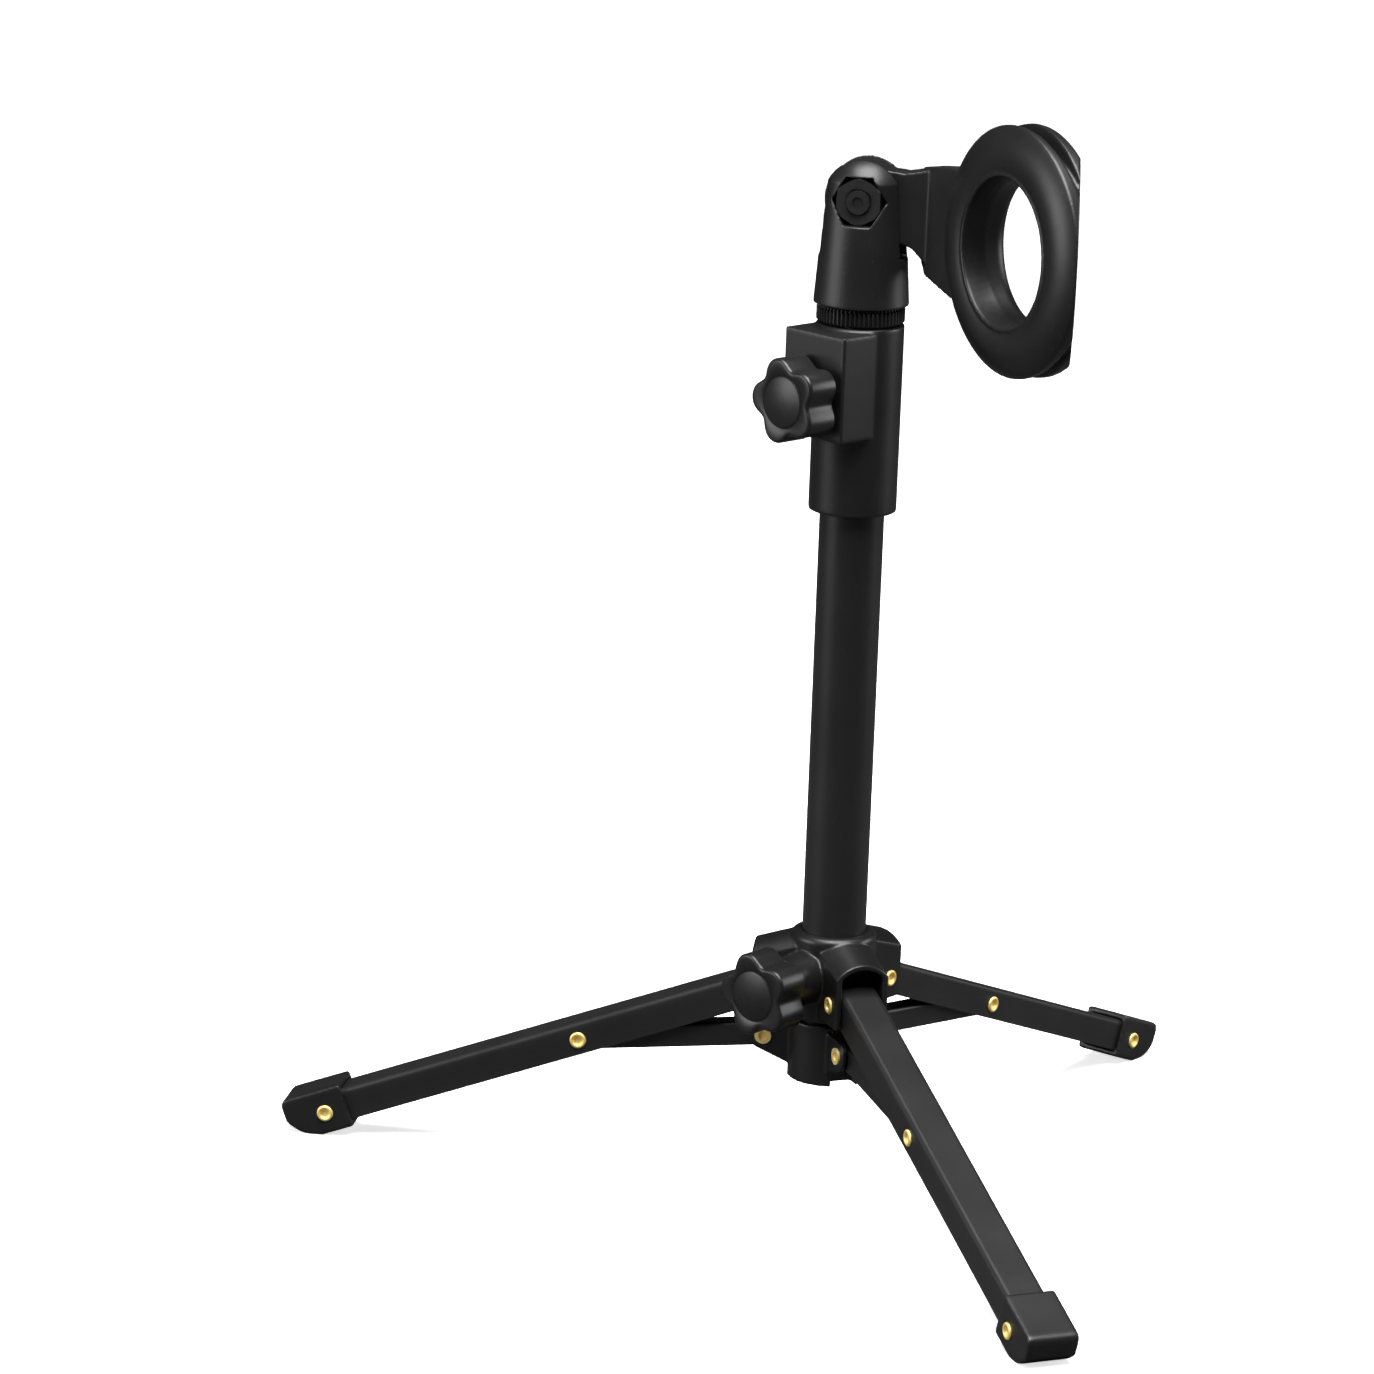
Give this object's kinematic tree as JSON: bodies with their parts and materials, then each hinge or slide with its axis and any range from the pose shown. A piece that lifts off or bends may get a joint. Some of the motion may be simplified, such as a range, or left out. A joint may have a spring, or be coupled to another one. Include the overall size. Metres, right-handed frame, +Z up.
{
  "type": "desktop microphone stand",
  "caption": "Folding desktop microphone stand: riveted tripod base, telescoping centre tube with clamping knobs, and a tilting ring clip.",
  "frame": {"origin": "on the floor, under the middle of the bounding box", "axes": "+Z up along the tube; -Y out along the front leg; +X to the right seen from the front"},
  "size_m": [0.2178, 0.1886, 0.2405],
  "materials": {
    "hub_plastic": "satin moulded black",
    "clip_plastic": "fine-grained matt black",
    "cap_plastic": "satin moulded black",
    "tube_paint": "semi-matt black",
    "leg_paint": "semi-matt black powder coat",
    "rivet_brass": "bright",
    "insert_brass": "turned",
    "black_steel": "blackened",
    "bright_steel": "plated"
  },
  "bodies": {
    "stand": {"tube": "tube_paint", "lower_hub": "hub_plastic", "strut_pins": "rivet_brass", "tube_sleeve": "hub_plastic", "sleeve_insert": "insert_brass"},
    "hub": {"leg_hub": "hub_plastic", "hub_rivets": "rivet_brass", "hub_insert": "insert_brass"},
    "hub_screw": {"hub_knob": "hub_plastic", "hub_knob_stud": "bright_steel", "hub_pad": "black_steel"},
    "sleeve_screw": {"sleeve_knob": "hub_plastic", "sleeve_knob_stud": "bright_steel", "sleeve_pad": "black_steel"},
    "extension": {"rod": "bright_steel", "rod_glide": "hub_plastic", "rod_stud": "bright_steel"},
    "lock": {"lock_ring": "hub_plastic"},
    "socket": {"clip_socket": "hub_plastic", "socket_insert": "insert_brass", "tilt_bolt": "black_steel", "tilt_nut": "black_steel", "tilt_washer": "bright_steel"},
    "clip": {"mic_clip": "clip_plastic"},
    "leg_front": {"leg_front": "leg_paint", "foot_front": "cap_plastic", "leg_rivets_front": "rivet_brass"},
    "strut_front": {"strut_front": "leg_paint"},
    "leg_right": {"leg_right": "leg_paint", "foot_right": "cap_plastic", "leg_rivets_right": "rivet_brass"},
    "strut_right": {"strut_right": "leg_paint"},
    "leg_left": {"leg_left": "leg_paint", "foot_left": "cap_plastic", "leg_rivets_left": "rivet_brass"},
    "strut_left": {"strut_left": "leg_paint"}
  },
  "joints": [
    {"name": "hub_lift", "type": "slide", "parent": "stand", "child": "hub", "axis": [0, 0, 1], "range_m": [0, 0.0738]},
    {"name": "leg_front_fold", "type": "hinge", "parent": "hub", "child": "leg_front", "pos_m": [0, 0.01476, 0.0433], "axis": [1, 0, 0], "range_deg": [0, 59]},
    {"name": "strut_front_fold", "type": "hinge", "parent": "leg_front", "child": "strut_front", "pos_m": [0, -0.02735, 0.02714], "axis": [-1, 0, 0], "range_deg": [0, 145.7]},
    {"name": "leg_right_fold", "type": "hinge", "parent": "hub", "child": "leg_right", "pos_m": [0.01161, 0.03486, 0.0433], "axis": [-0.5, 0.866, 0], "range_deg": [0, 59]},
    {"name": "strut_right_fold", "type": "hinge", "parent": "leg_right", "child": "strut_right", "pos_m": [0.04807, 0.05591, 0.02714], "axis": [0.5, -0.866, 0], "range_deg": [0, 145.7]},
    {"name": "leg_left_fold", "type": "hinge", "parent": "hub", "child": "leg_left", "pos_m": [-0.01161, 0.03486, 0.0433], "axis": [-0.5, -0.866, 0], "range_deg": [0, 59]},
    {"name": "strut_left_fold", "type": "hinge", "parent": "leg_left", "child": "strut_left", "pos_m": [-0.04807, 0.05591, 0.02714], "axis": [0.5, 0.866, 0], "range_deg": [0, 145.7]},
    {"name": "hub_knob_turn", "type": "hinge", "parent": "hub", "child": "hub_screw", "pos_m": [-0.0155, 0.02026, 0.047], "axis": [-0.891, -0.454, 0], "range_deg": [0, 720]},
    {"name": "sleeve_knob_turn", "type": "hinge", "parent": "stand", "child": "sleeve_screw", "pos_m": [-0.01252, 0.02285, 0.1774], "axis": [-0.9205, -0.3907, 0], "range_deg": [0, 720]},
    {"name": "rod_slide", "type": "slide", "parent": "stand", "child": "extension", "axis": [0, 0, 1], "range_m": [0, 0.09]},
    {"name": "lock_ring_turn", "type": "hinge", "parent": "extension", "child": "lock", "pos_m": [0, 0.02816, 0.1937], "axis": [0, 0, 1], "range_deg": [-180, 180]},
    {"name": "socket_swivel", "type": "hinge", "parent": "extension", "child": "socket", "pos_m": [0, 0.02816, 0.1958], "axis": [0, 0, 1], "range_deg": [-180, 180]},
    {"name": "clip_tilt", "type": "hinge", "parent": "socket", "child": "clip", "pos_m": [0, 0.02816, 0.2185], "axis": [-0.5736, -0.8192, 0], "range_deg": [-5, 90]}
  ],
  "couplings": [
    {"joint": "leg_front_fold", "follows": "hub_lift", "rad_per_m": 13.953},
    {"joint": "strut_front_fold", "follows": "hub_lift", "rad_per_m": 34.457},
    {"joint": "leg_right_fold", "follows": "hub_lift", "rad_per_m": 13.953},
    {"joint": "strut_right_fold", "follows": "hub_lift", "rad_per_m": 34.457},
    {"joint": "leg_left_fold", "follows": "hub_lift", "rad_per_m": 13.953},
    {"joint": "strut_left_fold", "follows": "hub_lift", "rad_per_m": 34.457}
  ]
}
